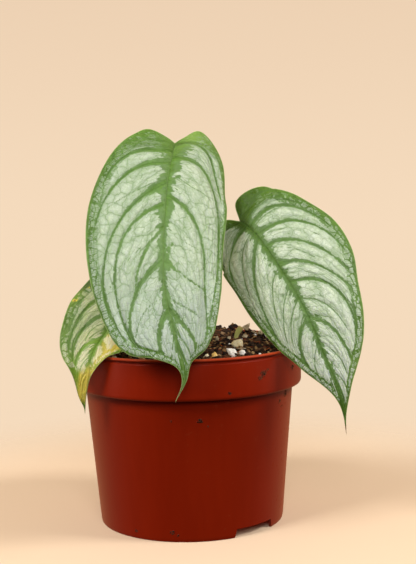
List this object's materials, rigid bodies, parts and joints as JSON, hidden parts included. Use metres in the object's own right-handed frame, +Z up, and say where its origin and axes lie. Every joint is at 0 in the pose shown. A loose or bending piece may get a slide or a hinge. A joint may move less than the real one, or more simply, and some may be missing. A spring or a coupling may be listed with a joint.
{
  "type": "potted monstera siltepecana",
  "caption": "Young climbing aroid with silver heart-shaped leaves on bent stalks, rooted in soil in a round plastic nursery pot.",
  "frame": {"origin": "middle of the pot's foot, on the surface that it stands on", "axes": "+Z up through the middle of the pot, -Y towards the side that the front leaf hangs over"},
  "size_m": [0.1511, 0.1347, 0.2054],
  "materials": {
    "pot_plastic": "semi-gloss moulded plastic",
    "soil": "rough crumbly potting soil",
    "stem": "matt",
    "stalk": "satin",
    "leaf": "satin, silver between green veins",
    "old_leaf": "satin, yellowing"
  },
  "bodies": {
    "root": {"pot": "pot_plastic", "soil": "soil", "stem": "stem", "stalk_stub": "stem", "stalk_front": "stalk", "stalk_right": "stalk", "stalk_left": "stalk", "leaf_front": "leaf", "leaf_right": "leaf", "leaf_left": "old_leaf"}
  },
  "joints": []
}
